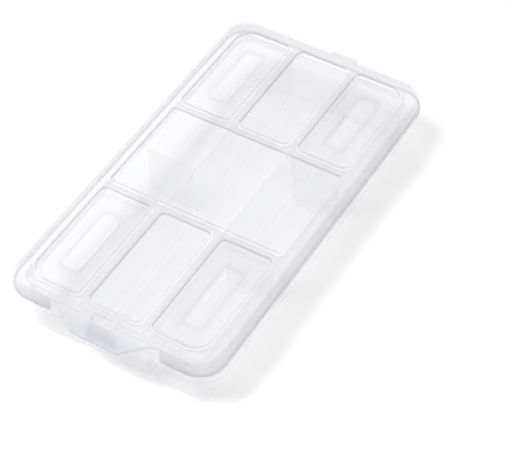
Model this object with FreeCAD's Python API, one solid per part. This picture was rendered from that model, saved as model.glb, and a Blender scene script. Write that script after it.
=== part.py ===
import FreeCAD, Part
import math
import os

# A flat divided bobbin box: a moulded tray with six compartments and a lift-off lid.
# Millimetres, +Z up, the thumb tab at the front (-Y), the tray standing on z = 0.
V = FreeCAD.Vector

# Tray
tray_width = 84.8            # across the outside of the walls, at the foot
tray_height = 30.2           # foot to rim
tray_corner = 5.0            # plan radius of the outside corners at the foot
tray_lean = 1.0              # how far each outside wall leans out over the full height
tray_wall = 1.4              # wall thickness at the rim
floor_thickness = 1.4
foot_radius = 1.6            # outside edge between wall and floor
wall_draft = 1.6             # degrees, every inside face
divider_thickness = 1.2      # at the rim
divider_x = 14.75            # the two long dividers stand at plus and minus this
right_cross_y = 27.9         # the two cross walls of the right row, plus and minus
left_cross_y = 0.0           # the one cross wall of the left row
side_blend = 3.6             # inside radius between floor and long outside wall
divider_blend = 0.9          # inside radius along a divider
cross_blend = 1.4            # inside radius at a cross wall
front_sweep = 4.2            # inside radius at the front end of a row
back_sweep = 8.1             # scooped inside radius at the back end of a row
rim_edge = 0.3               # rounding of the rim and of the divider tops

# Flange round the tray
side_overhang = 7.6          # flange edge beyond the foot of the wall
front_overhang = 5.2
back_overhang = 8.2
rim_height = 4.35            # rim above the flange
flange_thickness = 1.7
flange_edge = 0.4
ear_reach = 2.7              # the four ears beyond the flange
ear_length = 14.3
ear_y = 61.8                 # middle of an ear, plus and minus
ear_corner = 2.0

# Lid
lid_length = 187.6
lid_corner = 12.0
lid_wall = 1.2
skirt_lean = 0.8
shoulder_radius = 1.8
seat_gap = 0.15              # skirt foot above the flange
rim_gap = 0.9                # tray rim below the panels
panel_depth = 1.3            # panels below the top ring
panel_lean = 0.35            # how far a panel's edge leans over its depth
side_border = 8.0            # lid edge to panel field
end_border = 7.7
long_rib = 4.6               # rib between two rows of panels
cross_rib = 4.3              # rib between end panels and middle panel
cross_rib_y = 27.9           # middle of that rib
panel_corner = 3.0
field_corner = 8.4           # at the four corners of the panel field
middle_corner = 1.6
step_edge = 0.45             # rounding along the edge of a panel
dish_depth = 1.8
dish_ledge = 0.8             # flat strip between a panel's edge and its dish
dish_half_width = 3.7
dish_half_length = 15.4
dish_corner = 0.8

# Thumb tab, catch and rear lug, all part of the lid
tab_root = 22.5              # half width where the tab leaves the ring
tab_tip = 11.2               # half width at the tip
tab_reach = 6.6              # beyond the skirt foot
tab_angle = 27.0             # degrees downwards
tab_root_radius = 6.0
tab_tip_radius = 4.0
tab_bend = 1.6               # how far inside the ring's edge the tab starts to slope
tab_thickness = 1.2
tab_overlap = 3.0            # how far the tab runs in under the ring's top
notch_half_width = 26.4      # the skirt is open over this width behind the tab
notch_depth = 2.5            # how far the notch goes in behind the skirt
catch_half_width = 6.7
catch_gap = 0.4              # catch plate in front of the flange
catch_thickness = 1.2
catch_drop = 1.8             # catch foot below the flange
gusset_reach = 3.2           # how far the catch's side ribs run out under the tab
slot_half_width = 5.5        # opening in the ring behind the catch
slot_depth = 4.1
lug_left = -0.8
lug_right = 12.2
lug_reach = 2.5
lug_thickness = 1.4
lug_below_top = 3.3
lug_corner = 1.5
mark_radius = 1.0            # moulding marks in the top ring
mark_depth = 0.3
side_marks = ((-1, 5.4, -79.8), (1, 4.0, -68.0), (1, 4.0, 57.0))   # side, in from the edge, y
back_mark = (-34.9, 4.8)     # x, in from the back edge
panel_edge = 1e-3            # allowance when edges are picked by place
overcut = 1.0                # how far a cutting shape runs past the face that it cuts
spare = 5.0                  # extra length of a shape that another one trims
notch_edge = 0.5             # corner radius of the notch in plan
slot_below_panel = 6.0       # the slot's cut goes down through the catch's root

# Heights and places that follow
lid_width = tray_width + 2 * side_overhang
lid_half_x = lid_width / 2
lid_half_y = lid_length / 2
flange_top = tray_height - rim_height
flange_bottom = flange_top - flange_thickness
skirt_foot = flange_top + seat_gap
lid_top = tray_height + rim_gap + lid_wall + panel_depth
panel_top = lid_top - panel_depth
ring_under = lid_top - lid_wall
field_x = lid_half_x - side_border
field_y = lid_half_y - end_border
tray_front = -lid_half_y + front_overhang
tray_back = lid_half_y - back_overhang
skirt_slope = skirt_lean / (lid_top - skirt_foot)


def outline(x0, x1, y0, y1, z, radii):
    """Rectangle with rounded corners; radii run front-left, front-right, back-right, back-left."""
    fl, fr, br, bl = radii
    corners = ((x0 + fl, y0 + fl, fl, 180), (x1 - fr, y0 + fr, fr, 270),
               (x1 - br, y1 - br, br, 0), (x0 + bl, y1 - bl, bl, 90))
    edges = []
    ends = []
    for cx, cy, radius, start in corners:
        points = []
        for turn in (0, 45, 90):
            angle = math.radians(start + turn)
            points.append(V(cx + radius * math.cos(angle), cy + radius * math.sin(angle), z))
        edges.append(Part.Arc(*points).toShape())
        ends.append((points[0], points[2]))
    sides = []
    for here, after in zip(ends, ends[1:] + ends[:1]):
        sides.append(Part.LineSegment(here[1], after[0]).toShape())
    ordered = []
    for arc, side in zip(edges, sides):
        ordered += [arc, side]
    return Part.Wire(ordered)


def plate(x0, x1, y0, y1, z0, z1, radius):
    """Upright block with rounded corners."""
    wire = outline(x0, x1, y0, y1, z0, (radius,) * 4)
    return Part.Face(wire).extrude(V(0, 0, z1 - z0))


def box(x0, x1, y0, y1, z0, z1):
    return Part.makeBox(x1 - x0, y1 - y0, z1 - z0, V(x0, y0, z0))


def level_edges(shape, z):
    """Edges that lie wholly at height z."""
    found = []
    for edge in shape.Edges:
        bounds = edge.BoundBox
        if abs(bounds.ZMin - z) < 1e-4 and abs(bounds.ZMax - z) < 1e-4:
            found.append(edge)
    return found


def upright_edges(shape, keep):
    """Straight vertical edges whose place passes keep(x, y)."""
    found = []
    for edge in shape.Edges:
        bounds = edge.BoundBox
        thin = bounds.XLength < 1e-4 and bounds.YLength < 1e-4
        if thin and keep(bounds.XMin, bounds.YMin):
            found.append(edge)
    return found


def polygon_solid(points, direction):
    """Closed polygon swept along a vector."""
    wire = Part.makePolygon(list(points) + [points[0]])
    return Part.Face(wire).extrude(direction)


def tray_shell():
    """Outside of the tray walls, leaning out towards the rim."""
    half = tray_width / 2
    radius = tray_corner
    foot = outline(-half, half, tray_front, tray_back, 0, (radius,) * 4)
    out = tray_lean
    rim = outline(-half - out, half + out, tray_front - out, tray_back + out,
                  tray_height, (radius + out,) * 4)
    body = Part.makeLoft([foot, rim], True, True)
    return body.makeFillet(foot_radius, level_edges(body, 0))


def flange():
    """Flat rim that carries the lid, with two ears on each long side."""
    size = (-lid_half_x, lid_half_x, -lid_half_y, lid_half_y)
    ring = plate(*size, flange_bottom, flange_top, lid_corner)
    for side in (-1, 1):
        for end in (-1, 1):
            inner = side * (lid_half_x - 2 * ear_corner)
            outer = side * (lid_half_x + ear_reach)
            middle = end * ear_y
            ear = plate(min(inner, outer), max(inner, outer), middle - ear_length / 2,
                        middle + ear_length / 2, flange_bottom, flange_top, ear_corner)
            ring = ring.fuse(ear)
    ring = ring.removeSplitter()
    rims = level_edges(ring, flange_top) + level_edges(ring, flange_bottom)
    return ring.makeFillet(flange_edge, rims)


def side_face_edges(shape, sign, top):
    """Edges round the face that looks along sign * X, without the one at the top."""
    for face in shape.Faces:
        normal = face.normalAt(0, 0)
        if isinstance(face.Surface, Part.Plane) and normal.x * sign > 0.9:
            return [edge for edge in face.Edges if edge.BoundBox.ZMin < top - 1e-4]
    raise ValueError("no side face")


def compartment(x0, x1, y0, y1, front, back, left_blend, right_blend):
    """Hollow of one compartment, from its mouth at the rim down to the floor."""
    top = tray_height + overcut
    slope = math.tan(math.radians(wall_draft))
    inward = (tray_height - floor_thickness) * slope
    outward = overcut * slope
    end_view = [V(0, y0 - outward, top), V(0, y0 + inward, floor_thickness),
                V(0, y1 - inward, floor_thickness), V(0, y1 + outward, top)]
    length = polygon_solid([point + V(x0 - spare, 0, 0) for point in end_view],
                           V(x1 - x0 + 2 * spare, 0, 0))
    for edge_y, radius in ((y0 + inward, front), (y1 - inward, back)):
        edge = [e for e in level_edges(length, floor_thickness)
                if abs(e.BoundBox.YMin - edge_y) < 1e-4 and e.BoundBox.YLength < 1e-4]
        length = length.makeFillet(radius, edge)
    foot = floor_thickness - spare
    low = inward + spare * slope
    side_view = [V(x0 - outward, 0, top), V(x0 + low, 0, foot),
                 V(x1 - low, 0, foot), V(x1 + outward, 0, top)]
    width = polygon_solid([point + V(0, y0 - spare, 0) for point in side_view],
                          V(0, y1 - y0 + 2 * spare, 0))
    hollow = length.common(width)
    hollow = hollow.makeFillet(left_blend, side_face_edges(hollow, -1, top))
    return hollow.makeFillet(right_blend, side_face_edges(hollow, 1, top))


def row(x0, x1, walls, left_blend, right_blend):
    """Compartments of one long row, parted by cross walls."""
    front = tray_front - tray_lean + tray_wall
    back = tray_back + tray_lean - tray_wall
    half = divider_thickness / 2
    starts = [front] + [wall + half for wall in walls]
    ends = [wall - half for wall in walls] + [back]
    hollows = []
    for place, (y0, y1) in enumerate(zip(starts, ends)):
        front_blend = front_sweep if place == 0 else cross_blend
        back_blend = back_sweep if place == len(walls) else cross_blend
        hollows.append(compartment(x0, x1, y0, y1, front_blend, back_blend,
                                   left_blend, right_blend))
    return hollows


def mouth_edges(body, hollow):
    """Edges that a compartment's hollow leaves in the plane of the rim."""
    reach = hollow.BoundBox
    return [edge for edge in level_edges(body, tray_height) if reach.isInside(edge.BoundBox)]


def base_tray():
    mouth = tray_width / 2 + tray_lean - tray_wall
    near = divider_x - divider_thickness / 2
    far = divider_x + divider_thickness / 2
    hollows = row(-mouth, -far, [left_cross_y], side_blend, divider_blend)
    hollows += row(-near, near, [], divider_blend, divider_blend)
    hollows += row(far, mouth, [-right_cross_y, right_cross_y], divider_blend, side_blend)
    body = tray_shell().fuse(flange()).removeSplitter()
    body = body.makeFillet(rim_edge, level_edges(body, tray_height))
    for hollow in hollows:
        body = body.cut(hollow)
        body = body.makeFillet(rim_edge, mouth_edges(body, hollow))
    return body


def lid_shell():
    """Skirt and top ring as one thin cover."""
    lean = skirt_lean
    x = lid_half_x
    y = lid_half_y
    foot = outline(-x, x, -y, y, skirt_foot, (lid_corner,) * 4)
    crown = outline(-x + lean, x - lean, -y + lean, y - lean, lid_top, (lid_corner - lean,) * 4)
    outside = Part.makeLoft([foot, crown], True, True)
    outside = outside.makeFillet(shoulder_radius, level_edges(outside, lid_top))
    low = lid_wall
    high = lid_wall + skirt_slope * (ring_under - skirt_foot)
    foot = outline(-x + low, x - low, -y + low, y - low, skirt_foot, (lid_corner - low,) * 4)
    crown = outline(-x + high, x - high, -y + high, y - high, ring_under,
                    (lid_corner - high,) * 4)
    inside = Part.makeLoft([foot, crown], True, True)
    inside = inside.makeFillet(shoulder_radius - lid_wall, level_edges(inside, ring_under))
    return outside.cut(inside)


def panels():
    """Each panel's box and corner radii, and whether it is dished."""
    rib = long_rib / 2
    inner = cross_rib_y + cross_rib / 2
    small = panel_corner
    large = field_corner
    found = []
    for x0, x1, side in ((-field_x, -divider_x - rib, -1), (-divider_x + rib, divider_x - rib, 0),
                         (divider_x + rib, field_x, 1)):
        left = large if side < 0 else small
        right = large if side > 0 else small
        found.append((x0, x1, -field_y, -inner, (left, right, small, small), side != 0))
        found.append((x0, x1, inner, field_y, (small, small, right, left), side != 0))
    middle = cross_rib_y - cross_rib / 2
    found.append((-field_x, field_x, -middle, middle, (middle_corner,) * 4, False))
    return found


def grown(x0, x1, y0, y1, z, radii, by):
    """A panel's outline, moved outwards by a distance."""
    return outline(x0 - by, x1 + by, y0 - by, y1 + by, z, [radius + by for radius in radii])


def sunk(panel, by, drop):
    """Solid of a panel's recess, grown by a wall and lowered by drop."""
    x0, x1, y0, y1, radii, dished = panel
    top = grown(x0, x1, y0, y1, lid_top - drop, radii, by)
    foot = grown(x0, x1, y0, y1, panel_top - drop, radii, by - panel_lean)
    recess = Part.makeLoft([foot, top], True, True)
    if dished:
        recess = recess.fuse(dish(panel, by, drop))
    return recess


def dish(panel, by, drop):
    """The shallow hipped dish of a corner panel."""
    x0, x1, y0, y1, radii, dished = panel
    middle_x = (x0 + x1) / 2
    middle_y = (y0 + y1) / 2
    edge = grown(x0, x1, y0, y1, panel_top - drop, radii, by - panel_lean - dish_ledge)
    floor = grown(middle_x - dish_half_width, middle_x + dish_half_width,
                  middle_y - dish_half_length, middle_y + dish_half_length,
                  panel_top - drop - dish_depth, (dish_corner,) * 4, by)
    return Part.makeLoft([floor, edge], True, True)


def thumb_tab():
    """Sloping tab that widens in an S-curve into the front ring."""
    root_y = -lid_half_y + skirt_lean
    tip_y = -lid_half_y - tab_reach
    inner_y = root_y + tab_bend + tab_overlap
    wide = tab_root + 2 * tab_root_radius
    plan = [V(-wide, inner_y, 0), V(-wide, root_y, 0), V(-tab_root, root_y, 0),
            V(-tab_tip, tip_y, 0), V(tab_tip, tip_y, 0), V(tab_root, root_y, 0),
            V(wide, root_y, 0), V(wide, inner_y, 0)]
    leaf = polygon_solid(plan, V(0, 0, lid_top + overcut))
    leaf = leaf.makeFillet(tab_root_radius,
                           upright_edges(leaf, lambda x, y: abs(abs(x) - tab_root) < 1e-4))
    leaf = leaf.makeFillet(tab_tip_radius,
                           upright_edges(leaf, lambda x, y: abs(abs(x) - tab_tip) < 1e-4))
    bend_y = root_y + tab_bend
    fall = math.tan(math.radians(tab_angle))
    deep = tab_thickness / math.cos(math.radians(tab_angle))
    drop = (bend_y - tip_y) * fall
    band = [V(0, inner_y, lid_top), V(0, bend_y, lid_top), V(0, tip_y, lid_top - drop),
            V(0, tip_y, lid_top - drop - deep), V(0, bend_y, lid_top - deep),
            V(0, inner_y, lid_top - deep)]
    band = polygon_solid([point + V(-wide, 0, 0) for point in band], V(2 * wide, 0, 0))
    return leaf.common(band)


def tab_underside(y):
    """Height of the tab's underside at y."""
    bend_y = -lid_half_y + skirt_lean + tab_bend
    angle = math.radians(tab_angle)
    return lid_top - tab_thickness / math.cos(angle) - (bend_y - y) * math.tan(angle)


def catch():
    """Plate and two side ribs that hang from the tab in front of the flange."""
    back_y = -lid_half_y - catch_gap
    front_y = back_y - catch_thickness
    reach_y = front_y - gusset_reach
    foot = flange_bottom - catch_drop
    bite = tab_thickness / 2
    wide = catch_half_width
    face = [V(-wide, back_y, foot), V(-wide, front_y, foot),
            V(-wide, front_y, tab_underside(front_y) + bite),
            V(-wide, back_y, tab_underside(back_y) + bite)]
    body = polygon_solid(face, V(2 * wide, 0, 0))
    for x in (-wide, wide - catch_thickness):
        rib = [V(x, back_y, foot), V(x, front_y, foot),
               V(x, reach_y, tab_underside(reach_y) + bite),
               V(x, back_y, tab_underside(back_y) + bite)]
        body = body.fuse(polygon_solid(rib, V(catch_thickness, 0, 0)))
    return body


def mark_places():
    """Where the round moulding marks are, held to the lid's edges."""
    places = [(side * (lid_half_x - inset), y) for side, inset, y in side_marks]
    x, inset = back_mark
    places.append((x, lid_half_y - inset))
    return places


def lid():
    body = lid_shell()
    recesses = panels()
    for panel in recesses:
        body = body.fuse(sunk(panel, lid_wall, lid_wall))
    for panel in recesses:
        body = body.cut(sunk(panel, 0, 0))
    body = body.makeFillet(step_edge, panel_rims(body))
    notch = plate(-notch_half_width, notch_half_width, -lid_half_y - overcut,
                  -lid_half_y + lid_wall + skirt_lean + notch_depth,
                  skirt_foot - overcut, ring_under - lid_wall / 2, notch_edge)
    body = body.cut(notch)
    body = body.fuse(thumb_tab()).fuse(catch())
    slot_back = -lid_half_y - catch_gap + slot_depth
    slot = box(-slot_half_width, slot_half_width, -lid_half_y - catch_gap, slot_back,
               panel_top - slot_below_panel, lid_top + overcut)
    body = body.cut(slot)
    lug_top = lid_top - lug_below_top
    lug = plate(lug_left, lug_right, lid_half_y - lid_wall, lid_half_y + lug_reach,
                lug_top - lug_thickness, lug_top, lug_corner)
    body = body.fuse(lug)
    for x, y in mark_places():
        foot = V(x, y, lid_top - mark_depth)
        body = body.cut(Part.makeCylinder(mark_radius, mark_depth + overcut, foot))
    return body.removeSplitter()


def panel_rims(body):
    """Edges at the top of the panels' sides, inside the top ring."""
    found = []
    for edge in level_edges(body, lid_top):
        bounds = edge.BoundBox
        inside_x = max(abs(bounds.XMin), abs(bounds.XMax)) < field_x + panel_edge
        inside_y = max(abs(bounds.YMin), abs(bounds.YMax)) < field_y + panel_edge
        if inside_x and inside_y:
            found.append(edge)
    return found


os.makedirs("parts", exist_ok=True)
# The tab reaches further out than the rear lug, so the parts are moved to centre the whole box.
centring = V(0, (tab_reach - lug_reach) / 2, 0)
for name, make in (("base_tray", base_tray), ("lid", lid)):
    solid = make()
    solid.translate(centring)
    print(name, solid.isValid(), len(solid.Solids), round(solid.Volume), solid.BoundBox)
    solid.exportStep("parts/" + name + ".step")
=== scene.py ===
# %% [markdown]
# # A translucent bobbin box
#
# The real box is two injection mouldings in natural polypropylene: a tray with six compartments,
# and a lid that lifts straight off. Both shapes come from the CAD frame and stay as they are.
# What is made here is the camera, the plastic with its painted shade and highlight, the floor and the light.

# %% Load the frame
import bpy
import math
from mathutils import Matrix, Vector

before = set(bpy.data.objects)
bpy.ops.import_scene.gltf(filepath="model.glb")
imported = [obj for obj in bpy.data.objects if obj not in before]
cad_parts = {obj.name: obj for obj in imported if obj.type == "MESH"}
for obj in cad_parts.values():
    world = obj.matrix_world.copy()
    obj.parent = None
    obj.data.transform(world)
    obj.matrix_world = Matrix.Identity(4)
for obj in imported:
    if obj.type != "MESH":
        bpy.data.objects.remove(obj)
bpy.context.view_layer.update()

# %% [markdown]
# ## Looking down at the box
#
# The camera and the lights all look at the box from a direction that is easiest to say as an
# azimuth, counted from the tab end towards the right side, and an elevation above the floor. They
# could be turned with a Track To constraint, but a constraint hides the three axes, and the camera
# needs them to slide sideways. So one helper works the axes out.

# %% Directions


def viewing_axes(azimuth, elevation):
    """Right, up and backward directions of something that looks down at the box, from degrees."""
    around = math.radians(azimuth)
    above = math.radians(elevation)
    back = Vector((math.sin(around) * math.cos(above), -math.cos(around) * math.cos(above), math.sin(above)))
    right = Vector((0, 0, 1)).cross(back).normalized()
    return right, back.cross(right), back


print("seen from the tab end, the right side is", viewing_axes(0, 0)[0])

# %% [markdown]
# ## The camera
#
# A short lens close by would show the box with strongly converging edges. A long lens further off
# keeps opposite edges almost parallel, which suits a small object that is judged by its
# proportions. The camera stands back from the middle of the lid's panels and then slides in its
# own plane. That places the box in the left of the frame without a lens shift, so any other view
# of the box still works.

# %% Camera
PANEL_MIDDLE = Vector((0, 0.00205, 0.0323))
STAND_BACK = 0.78194
SLIDE_RIGHT = 0.01297
SLIDE_UP = -0.02390
LENS = 129.39

right, up, back = viewing_axes(azimuth=30.61, elevation=47.70)
camera_place = PANEL_MIDDLE + back * STAND_BACK + right * SLIDE_RIGHT + up * SLIDE_UP
camera_data = bpy.data.cameras.new("camera")
camera_data.lens = LENS
camera_data.sensor_width = 36.0
camera_data.clip_start = 0.01
camera = bpy.data.objects.new("camera", camera_data)
bpy.context.collection.objects.link(camera)
camera.matrix_world = Matrix.Translation(camera_place) @ Matrix((right, up, back)).transposed().to_4x4()
bpy.context.scene.camera = camera
print("camera at", [round(v, 3) for v in camera_place])

# %% [markdown]
# ## Natural polypropylene
#
# Unfilled polypropylene is milky. Some of the light that meets a wall goes straight on, and the
# rest is scattered: partly back, as from white paint, and partly forward, as through tracing
# paper. So one wall looks almost clear, and several walls in a row look grey. A refracting glass
# shader with a scattering volume could do this, but it is slow and grainy in walls this thin. A
# Principled shader with its alpha turned down is quick, but it only scatters back.
#
# Here three shaders are mixed. Transparent lets the straight light through and gives the soft pale
# shadow, Principled gives the gloss and what is scattered back, and Translucent gives what is
# scattered forward. The share of light that is scattered is called the veil. First come the
# helpers that make and join nodes.

# %% Make a node and fill its sockets


def add_node(tree, kind, **values):
    """New shader node with some of its sockets or settings filled in."""
    node = tree.nodes.new(kind)
    for name, value in values.items():
        if name in node.inputs:
            node.inputs[name].default_value = value
        else:
            setattr(node, name, value)
    return node


def feed(tree, source, socket):
    """Fills a socket with a plain number, or with the output of another node."""
    if isinstance(source, float):
        socket.default_value = source
    else:
        tree.links.new(source, socket)


# %% Mix shaders, values and colours


def mix_shaders(tree, share, first, second):
    """First shader where share is 0, and second where it is 1."""
    node = tree.nodes.new("ShaderNodeMixShader")
    feed(tree, share, node.inputs["Fac"])
    tree.links.new(first, node.inputs[1])
    tree.links.new(second, node.inputs[2])
    return node.outputs["Shader"]


def mix(tree, share, first, second, **settings):
    """First value where share is 0, and second where it is 1; settings say which kind of value."""
    node = add_node(tree, "ShaderNodeMix", **settings)
    feed(tree, share, node.inputs["Factor"])
    feed(tree, first, node.inputs["A"])
    feed(tree, second, node.inputs["B"])
    return node.outputs["Result"]


def multiply(tree, first, second):
    """Product of two colours."""
    return mix(tree, 1.0, first, second, data_type="RGBA", blend_type="MULTIPLY")


# %% [markdown]
# ## Painted shade by height
#
# On the real box the steps round the panels, the foot of the skirt and the standing walls look
# darker than the flat faces, because there one looks along the plastic and not across it. Traced
# refraction would show that by itself. With straight light it is painted into the colour instead,
# and every such step in a moulding lies at its own height. So a colour ramp over the height holds
# the painted shade of each level, and on the lid a painted highlight at a step's top edge, and a
# second ramp holds its veil.

# %% Height and ramps


def along(tree, place, axis, low, high):
    """Place along one axis, as 0 at low and 1 at high, in metres."""
    axes = tree.nodes.new("ShaderNodeSeparateXYZ")
    tree.links.new(place, axes.inputs["Vector"])
    level = tree.nodes.new("ShaderNodeMapRange")
    level.inputs["From Min"].default_value = low
    level.inputs["From Max"].default_value = high
    tree.links.new(axes.outputs[axis], level.inputs["Value"])
    return level.outputs["Result"]


def ramp(tree, source, stops):
    """Colour ramp over a value, with stops given as (position, colour or grey)."""
    node = tree.nodes.new("ShaderNodeValToRGB")
    elements = node.color_ramp.elements
    while len(elements) < len(stops):
        elements.new(0.5)
    for element, (position, shade) in zip(elements, stops):
        element.position = position
        element.color = (*shade, 1) if isinstance(shade, tuple) else (shade, shade, shade, 1)
    tree.links.new(source, node.inputs["Fac"])
    return node.outputs["Color"]


# %% [markdown]
# ## Colour and painted shade of the tray
#
# The tray's floor is the clearest part of the box, because it lies flat on white and nothing
# stands behind it. Its walls and dividers are seen at a slant and get more veil, and the narrow
# top edge of the rim is the milkiest. The walls are also painted a little darker than the floor,
# and the top edge much darker, as painted shade. Three zones by height are enough.

# %% Tray colour and painted shade
TRAY_LOW = 0.0
TRAY_HIGH = 0.0302
# Painted shade: the walls a little darker than the floor, and the top edge much darker.
TRAY_PAINTED_SHADES = ((0.0, (0.97, 0.97, 0.975)), (0.06, (0.97, 0.97, 0.975)),  # floor
               (0.09, (0.94, 0.94, 0.95)), (0.78, (0.95, 0.95, 0.96)), (0.99, (0.96, 0.96, 0.965)),  # walls
               (1.0, (0.82, 0.82, 0.85)))  # top edge
TRAY_VEILS = ((0.0, 0.05), (0.06, 0.05), (0.09, 0.155), (0.98, 0.155), (1.0, 0.28))


def tray_painted_shade_and_veil(tree, place):
    """Colour of the tray with its painted shade, and its veil."""
    level = along(tree, place, "Z", TRAY_LOW, TRAY_HIGH)
    return ramp(tree, level, TRAY_PAINTED_SHADES), ramp(tree, level, TRAY_VEILS)


print("tray shaded at", len(TRAY_PAINTED_SHADES), "heights up to", TRAY_HIGH, "m")

# %% [markdown]
# ## Colour, painted shade and painted highlight of the lid
#
# The lid has three zones. The panel field has sunk panels between raised ribs, and the steps
# between them are the dark outlines that one notices first, painted as shade, with a painted
# highlight along their rounded top edge. The dish slopes and the crease round each dish floor get
# painted shade too. The rim round it, which is the ring and the skirt, is painted a little greyer
# than the field, a painted shade for light passing two walls there, with a painted dark line at the
# foot of the skirt. The thumb tab has ribs under it, is the milkiest, and is painted a little
# darker. The zones could be separate materials on separate faces, but a moulding is one piece of
# plastic with no seams, so they are mixed inside one material by place.

# %% Zones of the lid
RIM_FROM_X = 0.0424
RIM_FROM_Y = 0.0865
RIM_BLEND = 0.0008
LID_MIDDLE = (0.0, 0.00205, 0.0)
TAB_UP_TO_Y = -0.0918
RING_FROM_Y = -0.0900


def rim_share(tree, place):
    """0 over the panel field, and 1 on the ring and skirt round it."""
    centred = add_node(tree, "ShaderNodeVectorMath", operation="SUBTRACT")
    centred.inputs[1].default_value = LID_MIDDLE
    tree.links.new(place, centred.inputs[0])
    reach = add_node(tree, "ShaderNodeVectorMath", operation="ABSOLUTE")
    tree.links.new(centred.outputs["Vector"], reach.inputs[0])
    out_by = reach.outputs["Vector"]
    furthest = add_node(tree, "ShaderNodeMath", operation="MAXIMUM")
    tree.links.new(along(tree, out_by, "X", RIM_FROM_X, RIM_FROM_X + RIM_BLEND), furthest.inputs[0])
    tree.links.new(along(tree, out_by, "Y", RIM_FROM_Y, RIM_FROM_Y + RIM_BLEND), furthest.inputs[1])
    return furthest.outputs["Value"]


print("panel field", round(2000 * RIM_FROM_X, 1), "x", round(2000 * RIM_FROM_Y, 1), "mm")

# %% Lid colour, painted shade and painted highlight
LID_LOW = 0.0220
LID_HIGH = 0.0340
# Painted shade: the dark band at the foot of the skirt, the dish slopes, the crease round a dish floor and
# the step round a panel. The white stop at 0.96 is a painted highlight on the rounded top edge of that step,
# just under the rib top.
FIELD_PAINTED_SHADE_AND_HIGHLIGHT = ((0.0, (0.72, 0.72, 0.76)), (0.33, (0.40, 0.39, 0.46)), (0.35, (0.42, 0.41, 0.48)),
                (0.37, (0.84, 0.835, 0.87)), (0.70, (0.90, 0.90, 0.915)), (0.715, (0.97, 0.97, 0.97)),  # dish
                (0.725, (0.52, 0.52, 0.58)), (0.74, (0.62, 0.62, 0.67)),  # crease round a dish
                (0.75, (0.86, 0.86, 0.88)), (0.85, (0.90, 0.90, 0.915)), (0.86, (0.95, 0.95, 0.96)),  # panel
                (0.87, (0.54, 0.535, 0.60)), (0.945, (0.62, 0.615, 0.67)),  # step round a panel
                (0.96, (1.0, 1.0, 1.0)), (0.967, (0.94, 0.94, 0.95)))  # rib
FIELD_VEILS = ((0.0, 0.34), (0.33, 0.50), (0.35, 0.50), (0.37, 0.28), (0.60, 0.26), (0.86, 0.22),
               (0.87, 0.46), (0.945, 0.46), (0.965, 0.26))
# Painted shade: the dark band at the foot of the skirt, and the skirt and ring greyer than the panels.
RIM_PAINTED_SHADES = ((0.0, (0.76, 0.76, 0.80)), (0.33, (0.50, 0.49, 0.56)), (0.35, (0.54, 0.53, 0.60)),  # foot
              (0.37, (0.74, 0.74, 0.775)), (0.90, (0.83, 0.83, 0.85)),  # skirt
              (0.967, (0.87, 0.87, 0.885)))  # ring
RIM_VEILS = ((0.0, 0.34), (0.33, 0.46), (0.35, 0.46), (0.37, 0.25), (0.967, 0.26))
# Painted shade: the tab is painted a little darker and bluer than the lid behind it.
TAB_PAINTED_SHADE = ((0.0, (0.91, 0.915, 0.945)), (1.0, 1.0))
TAB_VEIL = 0.42


def lid_painted_shade_highlight_and_veil(tree, place):
    """Colour of the lid with its painted shade and highlight, and its veil, zone by zone."""
    level = along(tree, place, "Z", LID_LOW, LID_HIGH)
    rim = rim_share(tree, place)
    colour = mix(tree, rim, ramp(tree, level, FIELD_PAINTED_SHADE_AND_HIGHLIGHT), ramp(tree, level, RIM_PAINTED_SHADES), data_type="RGBA")
    veil = mix(tree, rim, ramp(tree, level, FIELD_VEILS), ramp(tree, level, RIM_VEILS), data_type="FLOAT")
    behind_tab = along(tree, place, "Y", TAB_UP_TO_Y, RING_FROM_Y)
    colour = multiply(tree, colour, ramp(tree, behind_tab, TAB_PAINTED_SHADE))
    return colour, mix(tree, behind_tab, TAB_VEIL, veil, data_type="FLOAT")


print("lid shaded at", len(FIELD_PAINTED_SHADE_AND_HIGHLIGHT), "heights in the field and", len(RIM_PAINTED_SHADES), "on the rim")

# %% [markdown]
# ## Faces turned to the dull side
#
# The upright faces at the right and the front of the real box look a little greyer than the rest,
# because they face the dull side of the room. The studio made here is white all round, so it
# wouldn't show that. A dark card beside the box would, but it would dim the floor too. So the
# colour is lowered a little by how far a face turns that way. The normal is the object's own, so
# this doesn't change with the view.

# %% Shade by facing
DULL_SIDE = (0.8, -0.6, 0.0)
DULL_SHADES = ((0.3, 1.0), (0.7, (0.88, 0.88, 0.885)))


def dull_side_shade(tree, normal):
    """White on faces turned away from the dull side, down to a light grey on those that face it."""
    dot = add_node(tree, "ShaderNodeVectorMath", operation="DOT_PRODUCT")
    dot.inputs[1].default_value = DULL_SIDE
    tree.links.new(normal, dot.inputs[0])
    turned = tree.nodes.new("ShaderNodeMapRange")
    turned.inputs["From Min"].default_value = -1.0
    tree.links.new(dot.outputs["Value"], turned.inputs["Value"])
    return ramp(tree, turned.outputs["Result"], DULL_SHADES)


print("colour on the dull side", DULL_SHADES[-1][1])

# %% [markdown]
# ## The moulded skin
#
# The steel of a mould is finely textured, and the plastic copies it, which softens every
# reflection. The surface also waves a little where the plastic shrank as it cooled. Both are far
# too fine to model, so two noises at 1400 and 55 per metre go through Bump nodes, one on top of the
# other.

# %% Skin
GRAIN_SCALE = 1400.0
WAVE_SCALE = 55.0


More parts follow.
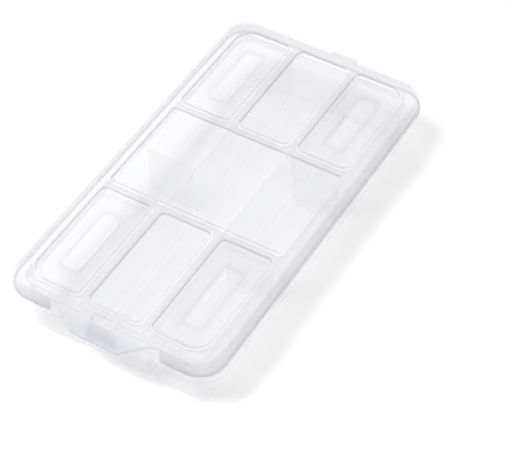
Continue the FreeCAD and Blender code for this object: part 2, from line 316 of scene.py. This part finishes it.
def mould_skin(tree, place):
    """Normal with the grain of the mould on top of the waves from shrinking."""
    grain = add_node(tree, "ShaderNodeTexNoise", Scale=GRAIN_SCALE, Detail=2.0)
    waves = add_node(tree, "ShaderNodeTexNoise", Scale=WAVE_SCALE, Detail=1.0)
    tree.links.new(place, grain.inputs["Vector"])
    tree.links.new(place, waves.inputs["Vector"])
    fine = add_node(tree, "ShaderNodeBump", Strength=0.12, Distance=0.00015)
    broad = add_node(tree, "ShaderNodeBump", Strength=0.12, Distance=0.0004)
    tree.links.new(grain.outputs["Fac"], fine.inputs["Height"])
    tree.links.new(waves.outputs["Fac"], broad.inputs["Height"])
    tree.links.new(fine.outputs["Normal"], broad.inputs["Normal"])
    return broad.outputs["Normal"]


print("grain", round(1000 / GRAIN_SCALE, 1), "mm and waves", round(1000 / WAVE_SCALE, 1), "mm apart")

# %% [markdown]
# ## Clouds in the plastic
#
# Where the melt slowed down in the mould, natural polypropylene sets a little cloudier and
# duller. One soft noise, about 26 mm from cloud to cloud, makes the colour vary by 4% and the
# roughness from 0.22 to 0.38. The same noise drives both, because it is the same cloud.

# %% Clouds
CLOUD_SHADES = ((0.3, (0.96, 0.96, 0.967)), (0.7, (1.0, 1.0, 1.0)))
GLOSSIEST = 0.22
DULLEST = 0.38


def clouds(tree, place):
    """Soft noise for where the plastic is cloudy."""
    noise = add_node(tree, "ShaderNodeTexNoise", Scale=38.0, Detail=3.0, Roughness=0.55)
    tree.links.new(place, noise.inputs["Vector"])
    return noise.outputs["Fac"]


def gloss(tree, cloud):
    """Roughness of the skin, which follows the clouds."""
    roughness = tree.nodes.new("ShaderNodeMapRange")
    roughness.inputs["To Min"].default_value = GLOSSIEST
    roughness.inputs["To Max"].default_value = DULLEST
    tree.links.new(cloud, roughness.inputs["Value"])
    return roughness.outputs["Result"]


print("roughness from", GLOSSIEST, "to", DULLEST)

# %% [markdown]
# ## The plastic put together
#
# The scattered light is split between forward and back, then mixed with the straight light by the
# veil. Last comes a volume that takes away a very little light inside the walls. It leaves one
# wall clear, and it greys a rib or a divider that is seen along its length.

# %% Scattered light
FORWARD_SHARE = 0.45
PLASTIC_IOR = 1.49


def scattered_light(tree, colour, cloud, normal):
    """Shader for the light that the plastic scatters, with its gloss."""
    shader = tree.nodes["Principled BSDF"]
    shader.inputs["IOR"].default_value = PLASTIC_IOR
    tree.links.new(colour, shader.inputs["Base Color"])
    tree.links.new(gloss(tree, cloud), shader.inputs["Roughness"])
    tree.links.new(normal, shader.inputs["Normal"])
    forward = tree.nodes.new("ShaderNodeBsdfTranslucent")
    tree.links.new(colour, forward.inputs["Color"])
    tree.links.new(normal, forward.inputs["Normal"])
    return mix_shaders(tree, FORWARD_SHARE, shader.outputs["BSDF"], forward.outputs["BSDF"])


print("scattered forward", FORWARD_SHARE, "and back", round(1 - FORWARD_SHARE, 2))

# %% Polypropylene
BODY_COLOUR = (0.85, 0.85, 0.865, 1)
BODY_DENSITY = 5.0


def polypropylene(name, colour_veil_and_painted_shade):
    """Milky plastic, whose colour with its painted shade, and veil, come from the function given for one
    moulding.
    """
    material = bpy.data.materials.new(name)
    material.use_nodes = True
    tree = material.node_tree
    output = tree.nodes["Material Output"]
    coordinates = tree.nodes.new("ShaderNodeTexCoord")
    place = coordinates.outputs["Object"]
    colour, veil = colour_veil_and_painted_shade(tree, place)
    cloud = clouds(tree, place)
    colour = multiply(tree, colour, ramp(tree, cloud, CLOUD_SHADES))
    colour = multiply(tree, colour, dull_side_shade(tree, coordinates.outputs["Normal"]))
    scattered = scattered_light(tree, colour, cloud, mould_skin(tree, place))
    straight = tree.nodes.new("ShaderNodeBsdfTransparent")
    surface = mix_shaders(tree, veil, straight.outputs["BSDF"], scattered)
    tree.links.new(surface, output.inputs["Surface"])
    body = add_node(tree, "ShaderNodeVolumeAbsorption", Color=BODY_COLOUR, Density=BODY_DENSITY)
    tree.links.new(body.outputs["Volume"], output.inputs["Volume"])
    print(name, "has", len(tree.nodes), "nodes")
    return material


# %% [markdown]
# ## Two mouldings, one plastic
#
# Both mouldings come from the same granulate, so both get the same material function and differ
# only in their colour, painted shade and veil. The CAD meshes stay as they are, and only their
# slots are filled.

# %% Give each moulding its plastic


def paint(node, material):
    """Puts one material in every slot of a CAD node."""
    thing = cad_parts[node]
    for slot in thing.material_slots:
        slot.material = material
    if not thing.material_slots:
        thing.data.materials.append(material)
    print(node, "has", len(thing.material_slots), "slot of", material.name)


paint("lid", polypropylene("lid_polypropylene", lid_painted_shade_highlight_and_veil))
paint("base_tray", polypropylene("tray_polypropylene", tray_painted_shade_and_veil))

# %% [markdown]
# ## The floor
#
# The box stands on white paper. White under a translucent object is what makes it glow, and a
# wide plane has no horizon near the box. It lies a fifth of a millimetre below the tray's foot, so
# that the two faces don't fight for the same place.

# %% Floor
FLOOR_WIDTH = 6.0
FLOOR_GAP = 0.0002

bpy.ops.object.select_all(action="DESELECT")
bpy.ops.mesh.primitive_plane_add(size=FLOOR_WIDTH, location=(0, 0, -FLOOR_GAP))
floor = bpy.context.active_object
floor.name = "floor"
paper = bpy.data.materials.new("white_paper")
paper.use_nodes = True
paper_shader = paper.node_tree.nodes["Principled BSDF"]
paper_shader.inputs["Base Color"].default_value = (0.93, 0.93, 0.93, 1)
paper_shader.inputs["Roughness"].default_value = 0.9
floor.data.materials.append(paper)
print("floor", floor.dimensions[0], "m across")

# %% [markdown]
# ## The lights
#
# A large soft key light stands 2.4 m off, high at the front left. From that far its light is almost
# even over the box, and its size gives the shadow at the right its soft edge. A weak light above
# the back lifts the far end of the lid, and another low at the right keeps the outside wall from
# going dull. Of the three, only the key is mirrored in the plastic, because more reflections in the
# panels would look like stains. The white world lights everything else.

# %% Lights


def soft_light(name, azimuth, elevation, distance, size, power, mirrored):
    """Square area light that looks at the box; angles in degrees, the rest in metres and watts."""
    light = bpy.data.lights.new(name, "AREA")
    light.size = size
    light.energy = power
    lamp = bpy.data.objects.new(name, light)
    bpy.context.collection.objects.link(lamp)
    across, over, towards = viewing_axes(azimuth, elevation)
    turned = Matrix((across, over, towards)).transposed().to_4x4()
    lamp.matrix_world = Matrix.Translation(towards * distance) @ turned
    lamp.visible_glossy = mirrored
    print(name, "at", [round(v, 2) for v in towards * distance])


soft_light("key_left", azimuth=-28, elevation=62, distance=2.4, size=0.80, power=38.5, mirrored=True)
soft_light("back_top", azimuth=-172, elevation=64, distance=0.5, size=0.5, power=0.62, mirrored=False)
soft_light("fill_right", azimuth=52, elevation=38, distance=0.7, size=0.5, power=0.7, mirrored=False)

# %% World
WORLD_STRENGTH = 0.43

world = bpy.data.worlds.new("studio")
world.use_nodes = True
background = world.node_tree.nodes["Background"]
background.inputs["Color"].default_value = (1.0, 1.0, 1.0, 1)
background.inputs["Strength"].default_value = WORLD_STRENGTH
bpy.context.scene.world = world
print("world strength", WORLD_STRENGTH)

# %% [markdown]
# ## Light that passes many walls
#
# A wall has two faces, and a line of sight through the closed box meets the lid, dividers, an
# outside wall and the floor: easily ten faces. Cycles stops after eight see-through faces and draws
# black there, so the limit is raised well above that. The other limits let scattered light cross
# the box as well, and the clamp takes out single bright dots. The Standard view keeps white paper
# white, where a filmic view would make it grey.

# %% Bounces and view
cycles = bpy.context.scene.cycles
cycles.transparent_max_bounces = 48
cycles.max_bounces = 20
cycles.diffuse_bounces = 10
cycles.transmission_bounces = 12
cycles.sample_clamp_indirect = 4.0
bpy.context.scene.view_settings.view_transform = "Standard"
print("see-through faces in a line, at most", cycles.transparent_max_bounces)
